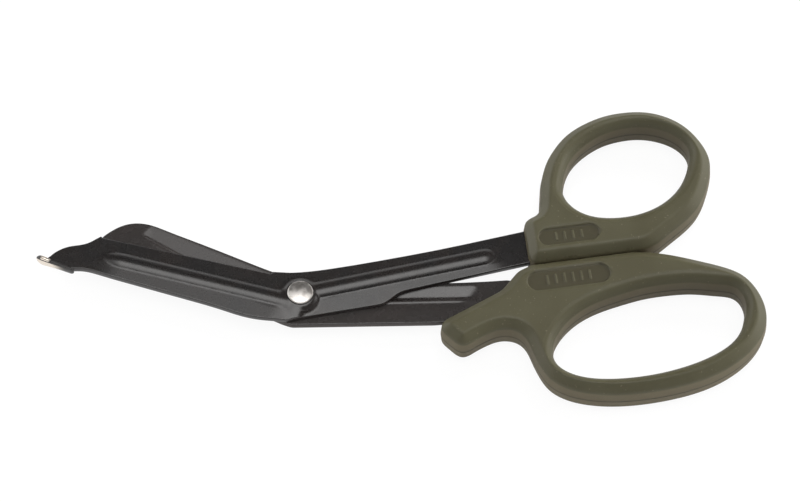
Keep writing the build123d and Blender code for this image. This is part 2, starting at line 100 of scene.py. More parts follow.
# Ribs: direction from the hinge, sideways offset, near end and far end
LOWER_JAW_RIB = (164.9, 2.4, 2.5, 0.75 * JAW_REACH)
LOWER_SHANK_RIB = (13.0, 0.4, 3.0, 0.862 * SHANK_REACH)
UPPER_JAW_RIB = (155.5, -1.85, 2.5, 0.817 * UPPER_REACH)
UPPER_SHANK_RIB = (1.4, 0.2, 3.0, 0.789 * SHANK_REACH)
RIB_RUN = 3.0  # a rib sinks away until this far beyond its far end,
JAW_FADE = 4.5  # from this far before it on a jaw,
SHANK_FADE = 1.5  # and from this far before it on a shank
JAW_STRIP_RISE = 0.22  # the strip beside the jaw's rib starts this far over the sheet
STRIP_ROOT = 1.2  # how far that strip runs on under the rib,
STRIP_FADE = 2.0  # and over which it fades out there
JAW_LEAN = 0.75  # share of the strips' slope that the jaw's strip has
JAW_STRIP_END = (-5, 4)  # a strip ends between these distances beyond its rib's far end
SHANK_STRIP_END = (-2, 6)

# Wide hollows in the rear blade: step line and crest line, each a direction and a sideways offset, then
# the side of the step on which the hollow lies, its slope, and its near and far ends along the step
JAW_HOLLOW = ((148.4, 5.9), (155.5, -3.7), -1, math.radians(8.0), GROOVE_START, 0.86 * UPPER_REACH)
SHANK_HOLLOW = ((1.4, -1.35), (1.4, 2.7), 1, math.radians(13.0), GROOVE_START, 0.789 * SHANK_REACH)
STEP_STEEPNESS = 0.8  # how steeply such a hollow deepens from its step,
END_STEEPNESS = 0.3  # and how steeply from its ends
HOLLOW_BLEND = 0.15  # depths over which its faces run together
END_BLEND = 0.4
RIM_DIP = 0.13  # depth of the shallow dip beside its step

# Rivet: radius of the head's face, height of its side and of its dome, the play under it, the same for the
# tail, and the borders of both as (radius, height) pairs from top to bottom
HEAD_FACE, HEAD_SIDE, HEAD_DOME, HEAD_PLAY = 3.05, 0.78, 0.37, 0.05
TAIL_FACE, TAIL_SIDE, TAIL_DOME = 2.8, 0.4, 0.35
HEAD_RIM = np.array([(3.18, 0.74), (3.26, 0.64), (3.3, 0.5), (3.3, 0.12), (3.24, 0.03), (3.1, 0), (2, 0)])
TAIL_RIM = np.array([(2, 0), (2.9, 0), (3, -0.06), (3, -0.24), (2.93, -0.34), (2.8, -0.4)])

STOP_LINE = (57.95, 7.95)  # where the closed handles meet
STOP_LEAN = math.radians(8.5)
STOP_HALF_GAP = 0.15
WALL_HALF = 3.4  # half the height of a handle's wall, and of the whole handle
HANDLE_HALF = 5.5
SLOPE_WIDTH = 2.4
RING_BEND = 1.7  # power by which the slope round a ring's opening bends over into the flat
DRAFT = WALL_HALF * math.tan(math.radians(4.7))

# Sunken fields: middle along and across the stop line, length, width and number of raised bars
THUMB_FIELD = (12.3, 6.34, 16.0, 5.0, 4)
FINGER_FIELD = (10.1, -6.1, 21.7, 5.8, 6)
FIELD_DEPTH = 0.5
BAR_RISE = 0.25
BAR_PITCH = 2.2
BAR_HALF = 0.3

# Rows of points: distances inside a blade's border, beside a rib's middle line and round the hinge, and
# distances inside a handle's border
BORDER_ROWS = (0.12, 0.3, 0.5, 0.58, 0.66, 0.8, 1.1)
RIB_ROWS = (0.35, 0.7, 1.05, 1.4, 1.7, 1.95, 2.15, 2.25, 2.35, 2.45, 2.6)
SEAT_ROWS = (2.4, 2.8, 3.2, 3.5, 3.7, 3.85, 3.95, 4.1, 4.3, 4.5, 4.7, 4.85, 5.0)
SLOPE_ROWS = (0.65, 0.85, 1.1, 1.35, 1.6, 1.8, 1.95, 2.1, 2.25, 2.4, 2.55, 2.75, 3.0)

# Lamps: strength, and lean and turn in degrees
LAMPS = [("Back lamp", 1.9, -50, -20), ("Side lamp", 1.7, -74, -82)]


# ---------- plane geometry ----------

def across(way):
    """A quarter turn to the right: a direction (x, y) becomes (y, -x)."""
    return np.stack([way[..., 1], -way[..., 0]], -1)


def turned(angle):
    """The unit direction at an angle in radians."""
    return np.array([math.cos(angle), math.sin(angle)])


def course(start, end):
    """Unit direction and length of a straight stretch."""
    size = np.linalg.norm(end - start)
    return (end - start) / size, size


def nearest_on(points, start, end):
    """The place on a straight stretch that is nearest to each point."""
    way = end - start
    share = np.clip((points - start) @ way / (way @ way), 0, 1)
    return start + share[:, None] * way


def to_segment(points, start, end):
    """Distance from points to a straight stretch."""
    return np.linalg.norm(points - nearest_on(points, start, end), axis=1)


def soft_low(a, b, width):
    """The lower of two heights, their crossing rounded over a width: their mean by a weight w that goes from
    0 to 1 as they cross, less w(1 - w) times the width."""
    weight = np.clip(0.5 + 0.5 * (b - a) / width, 0, 1)
    return b + (a - b) * weight - width * weight * (1 - weight)


def soft_high(a, b, width):
    """The higher of two heights, their crossing filled over a width."""
    return -soft_low(-a, -b, width)


def ramp(value, low, high):
    """0 below low, 1 above high and an S between: 3t^2 - 2t^3 of the share t."""
    share = np.clip((value - low) / (high - low), 0, 1)
    return share * share * (3 - 2 * share)


def in_order(follower):
    """Sorts links into closed loops. Doubling its stride, each link finds the lowest link of its loop
    and then how many links follow it before that one."""
    links = np.arange(len(follower))
    head, jump = links, follower
    for _ in range(len(links).bit_length()):
        head, jump = np.minimum(head, head[jump]), jump[jump]
    last = follower == head
    left, jump = np.where(last, 0, 1), np.where(last, links, follower)
    for _ in range(len(links).bit_length()):
        left, jump = left + left[jump], jump[jump]
    return [links[head == h][np.argsort(-left[head == h])] for h in np.unique(head)]


def section(node, level):
    """The closed loops in which a level plane cuts a CAD node, longest first, the solid on their left.
    A triangle that crosses the plane has one side that goes up through it and one that goes down."""
    mesh = frame["nodes"][node].data
    mesh.calc_loop_triangles()
    corners = np.empty(len(mesh.vertices) * 3)
    mesh.vertices.foreach_get("co", corners)
    corners = (corners.reshape(-1, 3) - HINGE) / MM
    tail = np.empty(len(mesh.loop_triangles) * 3, int)
    mesh.loop_triangles.foreach_get("vertices", tail)
    tail = tail.reshape(-1, 3)
    tip = np.roll(tail, -1, axis=1)
    same = np.unique(np.round(corners, 4), axis=0, return_inverse=True)[1].ravel()
    high = corners[:, 2] > level

    def crossing(side):
        """Where the triangles' sides cross the level, and a number for each that its neighbour shares."""
        a, b = tail[side], tip[side]
        share = (level - corners[a, 2]) / (corners[b, 2] - corners[a, 2])
        place = corners[a, :2] + share[:, None] * (corners[b, :2] - corners[a, :2])
        pair = np.sort(np.stack([same[a], same[b]]), axis=0)
        return place, pair[0] * len(corners) + pair[1]

    places, starts = crossing(high[tail] & ~high[tip])
    ends = crossing(~high[tail] & high[tip])[1]
    order = np.argsort(starts)
    follower = order[np.searchsorted(starts[order], ends)]
    return sorted((places[loop] for loop in in_order(follower)), key=lambda loop: -round_length(loop))


def round_length(loop):
    """Length round a closed loop."""
    return np.linalg.norm(np.roll(loop, -1, axis=0) - loop, axis=1).sum()


def evened(loop, spacing, passes):
    """A closed loop at even spacing, then softened: each pass moves a point half way to the middle of its
    two neighbours."""
    closed = np.vstack([loop, loop[:1]])
    run = np.concatenate([[0], np.cumsum(np.linalg.norm(np.diff(closed, axis=0), axis=1))])
    count = round(run[-1] / spacing)
    at = np.arange(count) * run[-1] / count
    points = np.stack([np.interp(at, run, closed[:, 0]), np.interp(at, run, closed[:, 1])], 1)
    for _ in range(passes):
        points = (np.roll(points, 1, axis=0) + 2 * points + np.roll(points, -1, axis=0)) / 4
    return points


def outwards(loop):
    """Unit directions out of the solid along a loop that has it on its left."""
    way = np.roll(loop, -1, axis=0) - np.roll(loop, 1, axis=0)
    return across(way / np.linalg.norm(way, axis=1)[:, None])


def circle(radius, count, sense=1):
    """Points round a circle about the hinge, clockwise in the sense -1."""
    angle = np.arange(count) * 2 * math.pi / count * sense
    return np.stack([np.cos(angle), np.sin(angle)], 1) * radius


def depth_in(points, loops):
    """How deep each point lies in the space inside the loops, negative outside: its distance to the nearest
    stretch, and it is inside where a line to its right crosses the loops an odd number of times."""
    start = np.vstack(loops)
    way = np.vstack([np.roll(loop, -1, axis=0) for loop in loops]) - start
    size = (way**2).sum(1)
    slant = way[:, 0] / np.where(way[:, 1] == 0, 1, way[:, 1])
    found = []
    for some in np.array_split(points, len(points) // 1500 + 1):
        gap = some[:, None] - start
        share = np.clip((gap * way).sum(2) / size, 0, 1)
        near = np.sqrt(((gap - share[..., None] * way) ** 2).sum(2).min(1))
        spans = (gap[..., 1] < 0) != (gap[..., 1] < way[:, 1])
        crossed = (spans & (gap[..., 0] < gap[..., 1] * slant)).sum(1)
        found.append(np.where(crossed % 2 == 1, near, -near))
    return np.concatenate(found)


def rows_inside(loops, depths):
    """Copies of the loops moved inwards by each depth, kept where nothing else of the loops is nearer."""
    kept = []
    for depth in depths:
        row = np.vstack([loop - outwards(loop) * depth for loop in loops])
        kept.append(row[depth_in(row, loops) > depth - 0.02])
    return np.vstack(kept)


def staggered(low, high, spacing):
    """A grid over a rectangle, every second line moved half a step."""
    lines = np.arange(low[1], high[1], spacing * math.sqrt(3 / 4))
    x, y = np.meshgrid(np.arange(low[0], high[0], spacing), lines)
    x = x + (np.arange(len(lines)) % 2)[:, None] * spacing / 2
    return np.stack([x.ravel(), y.ravel()], 1)


def scatter(loops, spacing, margin):
    """A staggered grid over the space inside the loops, a margin away from them."""
    points = staggered(np.vstack(loops).min(0), np.vstack(loops).max(0), spacing)
    return points[depth_in(points, loops) > margin]


def along_segment(start, end, reaches, spacing):
    """Closed rows of points round a straight stretch, each at its own reach from it: two sides and two half
    circles."""
    way, size = course(start, end)
    side = across(way)
    steps = np.arange(0, size, spacing)[:, None] * way + start
    kept = [steps]
    for reach in reaches:
        kept += [steps + side * reach, steps - side * reach]
        angle = np.linspace(-math.pi / 2, math.pi / 2, max(5, round(math.pi * reach / spacing)))[:, None]
        cap = np.cos(angle) * way * reach + np.sin(angle) * side * reach
        kept += [end + cap, start - cap]
    return np.vstack(kept)


# ---------- meshes ----------

def paved(loops, inner):
    """Triangles over the space inside the loops, through the inner points."""
    border = np.vstack(loops)
    follower = followers(loops)
    points = np.vstack([border, inner])
    links = np.stack([np.arange(len(border)), follower], 1).tolist()
    made = delaunay_2d_cdt([Vector(p) for p in points.tolist()], links, [], 0, 1e-7)
    given = np.array([origin[0] for origin in made[3]])
    faces = given[np.array(made[2])]
    corners = points[faces]
    ab, ac = corners[:, 1] - corners[:, 0], corners[:, 2] - corners[:, 0]
    turn = ab[:, 0] * ac[:, 1] - ab[:, 1] * ac[:, 0]
    faces = np.where((turn < 0)[:, None], faces[:, ::-1], faces)
    doubtful = np.flatnonzero((faces < len(border)).all(1))
    inside = np.ones(len(faces), bool)
    inside[doubtful] = depth_in(points[faces[doubtful]].mean(1), loops) > 0
    return faces[inside]


def followers(loops):
    """For each point of the loops laid end to end, the next one round its own loop."""
    counts = [len(loop) for loop in loops]
    starts = np.cumsum([0] + counts[:-1])
    return np.concatenate([np.roll(np.arange(n), -1) + s for n, s in zip(counts, starts)])


def closed_shell(loops, inner, top, bottom, levels):
    """A closed body: a paved top, the same paving turned over below, and walls that climb from the lower
    border through the levels, each a row of (x, y, height), to the upper border."""
    plan = np.vstack([np.vstack(loops), inner])
    count, size = len(np.vstack(loops)), len(plan)
    caps = paved(loops, inner)
    points = np.vstack([np.column_stack([plan, top]), np.column_stack([plan, bottom]), *levels])
    rings = [size + np.arange(count)]
    rings += [2 * size + i * count + np.arange(count) for i in range(len(levels))]
    rings += [np.arange(count)]
    after = followers(loops)
    walls = [np.stack([low, low[after], high[after], high], 1) for low, high in zip(rings, rings[1:])]
    return points, [caps, caps[:, ::-1] + size], walls


def tube(grid, sectors, ends):
    """A closed body through rings of points laid row by row, each ring anticlockwise seen from the last
    row's end, with a fan to a point at either end."""
    rows = len(grid) // sectors
    step = np.arange(sectors)
    after = np.roll(step, -1)
    firsts = np.arange(rows) * sectors
    quads = [np.stack([a + step, a + after, b + after, b + step], 1) for a, b in zip(firsts, firsts[1:])]
    last = firsts[-1]
    start, end = np.full(sectors, len(grid)), np.full(sectors, len(grid) + 1)
    fans = [np.stack([after, step, start], 1), np.stack([last + step, last + after, end], 1)]
    return np.vstack([grid, *np.reshape(ends, (2, 1, 3))]), fans, quads


def placed(name, points, triangles, quads, marks, material, body, slot, nodes):
    """Puts points in millimetres from the hinge and their faces into a smooth mesh that rides on a body.
    Marks are named shares at the points, which the finish reads."""
    mesh = bpy.data.meshes.new(name)
    corners = np.concatenate([np.concatenate(f).ravel() for f in (triangles, quads)]).astype(np.int32)
    three, four = sum(map(len, triangles)), sum(map(len, quads))
    starts = np.concatenate([np.arange(three) * 3, three * 3 + np.arange(four) * 4]).astype(np.int32)
    mesh.vertices.add(len(points))
    mesh.vertices.foreach_set("co", (points * MM + HINGE).astype(np.float32).ravel())
    mesh.loops.add(len(corners))
    mesh.loops.foreach_set("vertex_index", corners)
    mesh.polygons.add(len(starts))
    mesh.polygons.foreach_set("loop_start", starts)
    for mark, shares in marks.items():
        mesh.attributes.new(mark, "FLOAT", "POINT").data.foreach_set("value", shares.astype(np.float32))
    mesh.update(calc_edges=True)
    mesh.validate()
    mesh.shade_smooth()
    mesh.materials.append(bpy.data.materials[material])
    piece = bpy.data.objects.new(name, mesh)
    bpy.context.scene.collection.objects.link(piece)
    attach(piece, body)
    if nodes:
        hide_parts(*nodes)


# ---------- shader maths ----------

class Value:
    """A shader socket that takes part in Python arithmetic."""

    def __init__(self, shader, socket):
        self.shader, self.socket = shader, socket

    def maths(self, operation, *others):
        inputs = dict(enumerate([self, *others]))
        return self.shader.node("ShaderNodeMath", {"operation": operation}, inputs)

    def __add__(self, other):
        return self.maths("ADD", other)

    def __sub__(self, other):
        return self.maths("SUBTRACT", other)

    def __rsub__(self, other):
        return self.shader.node("ShaderNodeMath", {"operation": "SUBTRACT"}, {0: other, 1: self})

    def __mul__(self, other):
        return self.maths("MULTIPLY", other)

    __radd__ = __add__
    __rmul__ = __mul__

    def between(self, low, high):
        """0 below low, 1 above high and an S between."""
        settings = {"interpolation_type": "SMOOTHSTEP"}
        inputs = {"Value": self, "From Min": low, "From Max": high}
        return self.shader.node("ShaderNodeMapRange", settings, inputs)


class Shader:
    """The node tree of one material or world."""

    def __init__(self, owner):
        owner.use_nodes = True
        self.tree = owner.node_tree
        self.tree.nodes.clear()

    def node(self, kind, settings=None, inputs=None, output=0):
        """Adds a node: its settings first, then the values or links of its sockets."""
        made = self.tree.nodes.new(kind)
        for key, value in (settings or {}).items():
            setattr(made, key, value)
        for key, value in (inputs or {}).items():
            if isinstance(value, Value):
                self.tree.links.new(value.socket, made.inputs[key])
            else:
                made.inputs[key].default_value = value
        return Value(self, made.outputs[output])

    def finish(self, surface, kind="ShaderNodeOutputMaterial"):
        """Links the surface to the tree's output."""
        made = self.tree.nodes.new(kind)
        self.tree.links.new(surface.socket, made.inputs["Surface"])

    def noise(self, scale, detail):
        """Cloudy noise over the piece, its scale per metre."""
        place = self.node("ShaderNodeTexCoord", output="Object")
        return self.node("ShaderNodeTexNoise", inputs={"Vector": place, "Scale": scale, "Detail": detail})

    def mix(self, share, low, high):
        """A colour between two colours."""
        settings = {"data_type": "RGBA"}
        return self.node("ShaderNodeMix", settings, {0: share, 6: low, 7: high}, output=2)

    def mark(self, name):
        """A named share at the points of the mesh."""
        return self.node("ShaderNodeAttribute", {"attribute_name": name}, output="Fac")

    def bump(self, height, distance):
        """A normal tilted by a height, in metres for each unit of it."""
        return self.node("ShaderNodeBump", inputs={"Height": height, "Distance": distance})


def painted(name, build):
    """A new material whose nodes a function lays out."""
    material = bpy.data.materials.new(name)
    build(Shader(material))
    return material


def rgba(colour):
    return (*colour, 1.0)


def olive_plastic(shader):
    """Satin olive plastic: cloudy colour, faint pale specks and a fine moulded grain, with painted light that
    makes the walls lighter and browner, and painted shade that darkens the recesses and the parting line."""
    looks = bpy.context.scene.scissors_handles
    cloud = shader.noise(90.0, 3.0).between(0.3, 0.7)
    colour = shader.mix(cloud, rgba(looks.shade), rgba(looks.colour))
    specks = shader.noise(1500.0, 1.0).between(0.70, 0.78)
    colour = shader.mix(specks * 0.35, colour, rgba(looks.speck))
    # painted light: the walls are mixed towards a lighter, browner colour that stands for how they are lit
    wall = shader.mark("wall")
    colour = shader.mix(wall * 0.6, colour, rgba(looks.wall))
    # painted shade: the sunken fields and the parting line are mixed towards a darker colour
    colour = shader.mix(shader.mark("dull") * 0.7, colour, rgba(looks.dull))
    grain = shader.noise(2600.0, 2.0)
    wave = shader.noise(260.0, 2.0)
    inputs = {
        "Base Color": colour,
        "Roughness": 0.44 + 0.10 * wave + 0.15 * wall,
        "IOR": 1.42,
        "Normal": shader.bump(grain + wave * 2.0, 0.00003),
    }
    shader.finish(shader.node("ShaderNodeBsdfPrincipled", inputs=inputs))


def black_steel(shader):
    """Semi-gloss black coating on rolled sheet: warm and cool patches, a fine grain, light scuffs, painted
    sheen that lightens the inner face, painted shade that darkens the matt cut edge, and bright bare steel on
    the foot that stands partly for wear and partly for a painted highlight."""
    looks = bpy.context.scene.scissors_blades
    cloud = shader.noise(110.0, 3.0).between(0.35, 0.65)
    colour = shader.mix(cloud, rgba(looks.colour), rgba(looks.shade))
    scuff = shader.noise(900.0, 3.0).between(0.68, 0.80)
    colour = shader.mix(scuff * 0.12, colour, rgba(looks.scuff))
    # painted sheen: the inner face is mixed towards a lighter colour that stands for its brighter reflection
    colour = shader.mix(shader.mark("rubbed") * 0.5, colour, rgba(looks.rubbed))
    # painted shade: the cut edge is mixed towards a dark brown
    sawn, worn = shader.mark("sawn"), shader.mark("worn")
    colour = shader.mix(sawn, colour, rgba(looks.sawn))
    # bare steel that stands partly for wear and partly for a painted highlight on the foot
    colour = shader.mix(worn, colour, rgba(looks.bare_and_highlight))
    grain = shader.noise(3000.0, 2.0)
    inputs = {
        "Base Color": colour,
        "Metallic": worn,
        "Roughness": 0.22 + 0.10 * shader.noise(400.0, 3.0) + 0.3 * sawn,
        "IOR": 1.58,
        "Normal": shader.bump(grain, 0.000006),
    }
    shader.finish(shader.node("ShaderNodeBsdfPrincipled", inputs=inputs))


def bright_rivet(shader):
    """Tumbled bright steel, dimpled by the press."""
    looks = bpy.context.scene.scissors_blades
    dimples = shader.noise(1100.0, 2.0)
    cloud = shader.noise(700.0, 3.0).between(0.35, 0.65)
    colour = shader.mix(cloud, rgba(looks.rivet_shade), rgba(looks.rivet))
    inputs = {
        "Base Color": colour,
        "Metallic": 1.0,
        "Roughness": 0.34 + 0.08 * cloud,
        "Normal": shader.bump(dimples, 0.00002),
    }
    shader.finish(shader.node("ShaderNodeBsdfPrincipled", inputs=inputs))


# ---------- settings ----------

def length(name, description, metres):
    """A setting that is a length."""
    return bpy.props.FloatProperty(name=name, description=description, default=metres, min=0.0, unit="LENGTH")


def tilt(name, description, degrees):
    """A setting that is an angle."""
    radians = math.radians(degrees)
    return bpy.props.FloatProperty(name=name, description=description, default=radians, subtype="ANGLE")


def tint(name, description, default):
    """A setting that is a colour."""
    return bpy.props.FloatVectorProperty(
        name=name, description=description, default=default, min=0.0, max=1.0, size=3, subtype="COLOR"
    )


class BladeSettings(bpy.types.PropertyGroup):
    """Measures and colours of the blades and the rivet"""

    rib_width: length("Rib width", "Width of the pressed rib", 0.0048)
    rib_rise: length("Rib rise", "Height of the rib over the sheet", 0.0009)
    edge_round: length("Edge rounding", "Radius of the sheet's worn edges", 0.00020)
    crease: length("Crease", "Height over which two pressed faces run together", 0.00007)
    strip_slope: tilt("Strip slope", "Lean of the strip beside a rib", 8.6)
    colour: tint("Coating", "Colour of the black coating", (0.0135, 0.0110, 0.0102))
    shade: tint("Coating patches", "Colour of its cooler patches", (0.0105, 0.0098, 0.0098))
    scuff: tint("Scuffs", "Colour of light scuffs", (0.05, 0.045, 0.042))
    # colour of the painted sheen on the inner face
    rubbed: tint("Rubbed face", "Colour of the coating where the blades slide", (0.038, 0.033, 0.031))
    # colour of the painted shade on the cut edge
    sawn: tint("Cut edge", "Colour of the coating on the sheet's cut edge", (0.020, 0.011, 0.008))
    # colour of bright bare steel, partly wear and partly a painted highlight
    bare_and_highlight: tint("Bare steel", "Colour of steel where the coating is worn off", (0.80, 0.72, 0.63))
    rivet: tint("Rivet", "Colour of the bright rivet", (0.80, 0.77, 0.74))
    rivet_shade: tint("Rivet patches", "Colour of its dull patches", (0.55, 0.52, 0.49))


class HandleSettings(bpy.types.PropertyGroup):
    """Measures and colours of the handles"""

    ridge: length("Ridge", "Height over which the flat and the slope run together", 0.00045)
    corner: length("Corner", "Reach of the rounding between slope and wall", 0.0005)
    seam: length("Seam", "Depth of the mould's parting line", 0.00011)
    colour: tint("Plastic", "Colour of the olive plastic", (0.067, 0.0625, 0.035))
    shade: tint("Plastic clouds", "Colour of its darker clouds", (0.059, 0.0540, 0.029))
    # colour of the painted shade in the recesses and on the parting line
    dull: tint("Recesses", "Colour of recesses and of the parting line", (0.036, 0.031, 0.016))
    # colour of the painted light on the walls, lighter and browner than the plastic
    wall: tint("Walls", "Colour of the moulded walls", (0.130, 0.106, 0.062))
    speck: tint("Specks", "Colour of pale specks", (0.20, 0.18, 0.13))


class StageSettings(bpy.types.PropertyGroup):
    """The camera's place and lens, and the floor's colour"""

    aim: bpy.props.FloatVectorProperty(
        name="Aim", description="Point the camera looks at", default=(0.00010, 0.00163, 0.0055),
        subtype="TRANSLATION"
    )
    distance: length("Distance", "From that point to the camera", 0.9)
    elevation: tilt("Elevation", "Camera's angle above the floor", 60)
    lens: bpy.props.FloatProperty(name="Lens", description="Focal length", default=156.33, unit="CAMERA")
    floor: tint("Floor", "Colour of the floor", (0.85, 0.85, 0.85))


# ---------- blades ----------

def heading(line):
    """Unit direction away from the hinge of a rib or a line, whose first entry is its angle in degrees."""
    return turned(math.radians(line[0]))


def rib_axis(rib, width, run=0):
    """The two ends of a rib's middle line, half its width short of its far end, which may run on."""
    _, offset, near, far = rib
    way = heading(rib)
    side = -across(way) * offset
    return way * near + side, way * (far + run - width / 2) + side


def dome(points, ends, width, rise):
    """Height of a round back over its flat: sqrt(R^2 - r^2) - (R - rise), with r the distance to its middle
    line and R the radius of the round through its two borders."""
    radius = (width**2 / 4 + rise**2) / (2 * rise)
    reach = to_segment(points, *ends)
    return np.sqrt(np.maximum(radius**2 - reach**2, 0)) - (radius - rise)


def aside(points, line):
    """Distance of points to the left of a line, given by its direction and its offset from the hinge."""
    return points @ -across(heading(line)) - line[1]


def past_border(points, rib, side, looks):
    """Distance of points past a rib's border, on its left (side 1) or its right (side -1)."""
    return side * aside(points, rib) - looks.rib_width / MM / 2


def drop(points, rib, side, looks):
    """How far the strip beside a rib leans down: the slope times the distance past the rib's border."""
    return np.maximum(past_border(points, rib, side, looks), 0) * math.tan(looks.strip_slope)


def before_end(points, rib, stretch):
    """1 along a rib and 0 beyond it, with an S between over a stretch about its far end."""
    return 1 - ramp(points @ heading(rib) - rib[3], *stretch)


def strip_rise(points, rib, side, looks):
    """Height over the sheet at which the strip beside the jaw's rib starts. Its plane runs on under the rib,
    and ends softly at the hinge."""
    past = past_border(points, rib, side, looks)
    plane = JAW_STRIP_RISE - np.clip(past, -STRIP_ROOT, 0) * math.tan(looks.strip_slope)
    toward = ramp(points @ heading(rib), -3.0, 3.0)
    return plane * ramp(past, -STRIP_ROOT - STRIP_FADE, -STRIP_ROOT) * toward


def ground(points, edge):
    """Height of a ground cutting edge: a land, then a straight rise inwards, only along the edge itself."""
    way, size = course(*edge)
    inwards = (points - edge[0]) @ across(way)
    along = (points - edge[0]) @ way
    beyond = (along < 0) | (along > size)
    return np.where(beyond, 2 * SHEET, EDGE_LAND + inwards * (SHEET - EDGE_LAND) / EDGE_BEVEL)


def seat_height(points, rise):
    """The rivet's round seat: flat above, with an S-shaped flank that ends in a straight skirt, and towards
    the jaw's strip a gentle cone instead, weighted by the cosine of the angle to that direction."""
    reach = np.linalg.norm(points, axis=1)
    flank = rise * (1 - ramp(reach, SEAT_TOP, SEAT_RADIUS + 0.2))
    flank = flank - SEAT_SKIRT * np.maximum(reach - SEAT_RADIUS + 0.1, 0)
    cone = rise - SEAT_RUN * np.maximum(reach - SEAT_TOP, 0)
    toward = points @ turned(SEAT_CONE) / np.maximum(reach, 0.1)
    return SHEET + flank + (cone - flank) * ramp(toward, 0.35, 0.75)


def outer_face(points, base, ribs, looks):
    """Height of a blade's ribbed face: the sheet and its strips, with the ribs and the seat grown out of it.
    The creases widen towards the seat, and each rib sinks by its whole rise about its far end."""
    width, rise, crease = looks.rib_width / MM, looks.rib_rise / MM, looks.crease / MM
    height = base
    near = 1 - ramp(np.linalg.norm(points, axis=1), 3.5, 8.0)
    for rib in ribs:
        back = dome(points, rib_axis(rib, width, RIB_RUN), width, rise)
        fade = JAW_FADE if rib[0] > 90 else SHANK_FADE
        back = back - rise * (1 - before_end(points, rib, (-fade, RIB_RUN)))
        height = soft_high(height, SHEET + back, crease + 0.3 * near)
    return soft_high(height, seat_height(points, rise), 2 * crease + 0.2)


def round_hollow(points, rib):
    """Depth of the round hollow behind a rib."""
    angle, offset, _, far = rib
    hollow = angle, offset, GROOVE_START, far
    return dome(points, rib_axis(hollow, GROOVE_WIDTH), GROOVE_WIDTH, GROOVE_DEPTH)


def wide_hollow(points, hollow):
    """Depth of a wide hollow: the least of a steep rise from its step, a gentle one from its crest line,
    one from each end, and the full depth, all meeting softly. A shallow dip lies beyond the step."""
    step, crest, side, slope, near, far = hollow
    along = points @ heading(step)
    past = side * aside(points, step)
    depth = soft_low(past * STEP_STEEPNESS, np.full(len(points), GROOVE_DEPTH), HOLLOW_BLEND)
    depth = soft_low(depth, -side * aside(points, crest) * math.tan(slope), HOLLOW_BLEND)
    depth = soft_low(depth, np.minimum(along - near, far - along) * END_STEEPNESS, END_BLEND)
    beyond = -past
    dip = ramp(beyond, 0.1, 0.9) * (1 - ramp(beyond, 0.9, 3.0)) * (1 - ramp(along, far - 6.0, far - 2.0))
    return np.maximum(depth, RIM_DIP * dip * ramp(along, near, near + 3.0))


def inner_face(points, hollow, shapes):
    """Height of a blade's flat face: zero, but for its hollows, whose borders are a little rounded."""
    height = np.zeros(len(points))
    for shape in shapes:
        rounded = soft_high(hollow(points, shape), np.zeros(len(points)), HOLLOW_BORDER) - HOLLOW_BORDER / 4
        height = np.maximum(height, rounded)
    return height


def tucked_in(outline):
    """A blade's border where the foot covers it: its points move straight towards the part where the blade
    joins the foot, until they are within the cover."""
    by_foot = to_segment(outline, *FOOT) < FOOT_HALF + 0.1
    nearest = nearest_on(outline, *FOOT_ROOT)
    gap = np.linalg.norm(outline - nearest, axis=1)
    pull = np.clip(1 - FOOT_COVER / np.maximum(gap, 0.01), 0, 1) * by_foot
    return outline + (nearest - outline) * pull[:, None]


def blade_plan(node, level, ribs, looks):
    """A blade's borders and the points inside: rows along the border, the ribs and the seat, and a grid."""
    outline = tucked_in(evened(section(node, level)[0], 0.4, 2))
    rim = outline - outwards(outline) * (looks.edge_round / MM)
    inner = [rows_inside([rim], BORDER_ROWS)]
    inner += [along_segment(*rib_axis(rib, looks.rib_width / MM, RIB_RUN), RIB_ROWS, 0.45) for rib in ribs]
    inner += [circle(radius, 96) for radius in SEAT_ROWS]
    inner.append(scatter([rim], 0.55, 1.2))
    inner = np.vstack(inner)
    reach = np.linalg.norm(inner, axis=1)
    inner = inner[(depth_in(inner, [rim]) > 0.05) & (reach > HOLE_RADIUS + 0.1)]
    return [rim, circle(HOLE_RADIUS, 64, sense=-1)], np.unique(np.round(inner, 3), axis=0)


def blade_shell(node, ribs, base_of, hollow, shapes, flip, looks):
    """A blade: its plan, the height of its two faces, and a border rounded by a quarter circle above and
    below. The two rows at the middle of the border are marked for painted shade, and the inner face for
    painted sheen."""
    loops, inner = blade_plan(node, flip * (SLIDE + PLAN_LIFT), ribs, looks)
    plan = np.vstack([*loops, inner])
    top = outer_face(plan, base_of(plan), ribs, looks)
    low = inner_face(plan, hollow, shapes)
    border = np.vstack(loops)
    count = len(border)
    out = np.vstack([outwards(loop) for loop in loops])
    size = np.minimum(looks.edge_round / MM, 0.4 * (top - low)[:count])
    reach = np.concatenate([np.full(len(loops[0]), looks.edge_round / MM), np.zeros(len(loops[1]))])
    levels = []
    for face, turn, degrees in ((low, 1, (30, 60, 90)), (top, -1, (90, 60, 30))):
        for bend in np.radians(degrees):
            ring = border + out * (reach * math.sin(bend))[:, None]
            levels.append(np.column_stack([ring, face[:count] + turn * size * (1 - math.cos(bend))]))
    points, triangles, quads = closed_shell(loops, inner, top, low, levels)
    points[:, 2] = flip * (points[:, 2] + SLIDE)
    if flip < 0:
        triangles, quads = [f[:, ::-1] for f in triangles], [f[:, ::-1] for f in quads]
    number = np.arange(len(points))
    row = (number - 2 * len(plan)) // count
    # painted shade on the middle rows of the cut edge, full on the rear blade and faint on the front
    sawn = np.isin(row, (2, 3)) * (1.0 if flip < 0 else 0.3)
    # painted sheen over the whole inner face
    rubbed = (number >= len(plan)) & (number < 2 * len(plan))
    return points, triangles, quads, {"sawn": sawn, "rubbed": rubbed}


